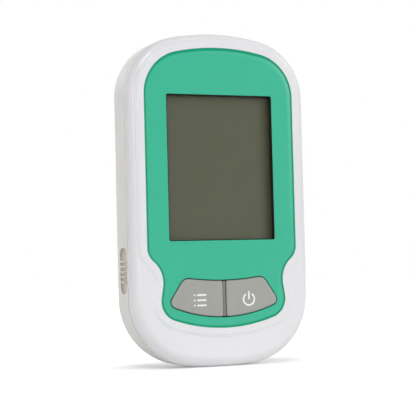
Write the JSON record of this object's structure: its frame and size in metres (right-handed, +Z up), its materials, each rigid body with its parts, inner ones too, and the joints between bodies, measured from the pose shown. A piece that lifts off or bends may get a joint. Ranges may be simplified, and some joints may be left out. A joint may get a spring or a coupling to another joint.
{
  "type": "blood glucose meter",
  "caption": "Hand-held blood glucose meter: white two-part case, green front panel with a display window and two keys, side slider that ejects the strip, and a hinged battery door.",
  "frame": {"origin": "bottom centre of the bounding box, where the lower end touches the surface it stands on", "axes": "+Z up along the meter's length, the display faces -Y, +X is to the right seen from the front"},
  "size_m": [0.0565, 0.0174, 0.098],
  "materials": {
    "shell_white": "smooth moulded plastic, satin gloss, cool white",
    "shell_warm": "smooth moulded plastic, satin, warm white",
    "panel_green": "moulded plastic, satin gloss, sea green",
    "black_foam": "matt black frame",
    "clear_window": "clear acrylic",
    "lcd_glass": "olive grey reflective display, switched off",
    "holder_plastic": "natural white plastic",
    "elastomer": "layered elastomer",
    "board_green": "green solder mask",
    "chip_black": "black moulding compound",
    "ceramic_tan": "ceramic body",
    "brass": "plated",
    "key_grey": "satin grey plastic",
    "plunger_black": "matt",
    "slider_beige": "satin warm grey plastic",
    "steel": "bright"
  },
  "bodies": {
    "case": {"front_shell": "shell_white", "rear_shell": "shell_warm", "faceplate": "panel_green", "lcd_gasket": "black_foam", "display_lens": "clear_window", "lcd_panel": "lcd_glass", "lcd_holder": "holder_plastic", "zebra_connector": "elastomer", "circuit_board": "board_green", "processor_chip": "chip_black", "analogue_chip": "chip_black", "clock_crystal": "steel", "small_parts": "ceramic_tan", "buzzer": "brass", "key_divider": "key_grey", "switch_left": "chip_black", "switch_right": "chip_black", "strip_connector": "holder_plastic", "strip_contacts": "brass", "ejector_rod": "steel", "ejector_spring": "steel", "coin_cells": "steel", "cell_contacts": "brass", "cell_clips": "steel", "case_screws": "steel", "board_screws": "steel"},
    "left_key": {"button_left": "key_grey", "plunger_left": "plunger_black"},
    "right_key": {"button_right": "key_grey", "plunger_right": "plunger_black"},
    "slider": {"ejector_slider": "slider_beige"},
    "door": {"battery_door": "shell_warm", "door_pins": "steel"}
  },
  "joints": [
    {"name": "left_key_press", "type": "slide", "parent": "case", "child": "left_key", "axis": [0, 1, 0], "range_m": [0, 0.0005], "stiffness_N_per_m": 3000},
    {"name": "right_key_press", "type": "slide", "parent": "case", "child": "right_key", "axis": [0, 1, 0], "range_m": [0, 0.0005], "stiffness_N_per_m": 3000},
    {"name": "ejector_slide", "type": "slide", "parent": "case", "child": "slider", "axis": [0, 0, -1], "range_m": [0, 0.002], "stiffness_N_per_m": 300, "deforming": ["ejector_spring"]},
    {"name": "door_hinge", "type": "hinge", "parent": "case", "child": "door", "pos_m": [0, 0.0072, 0.04641], "axis": [-1, 0, 0], "range_deg": [0, 90]}
  ]
}
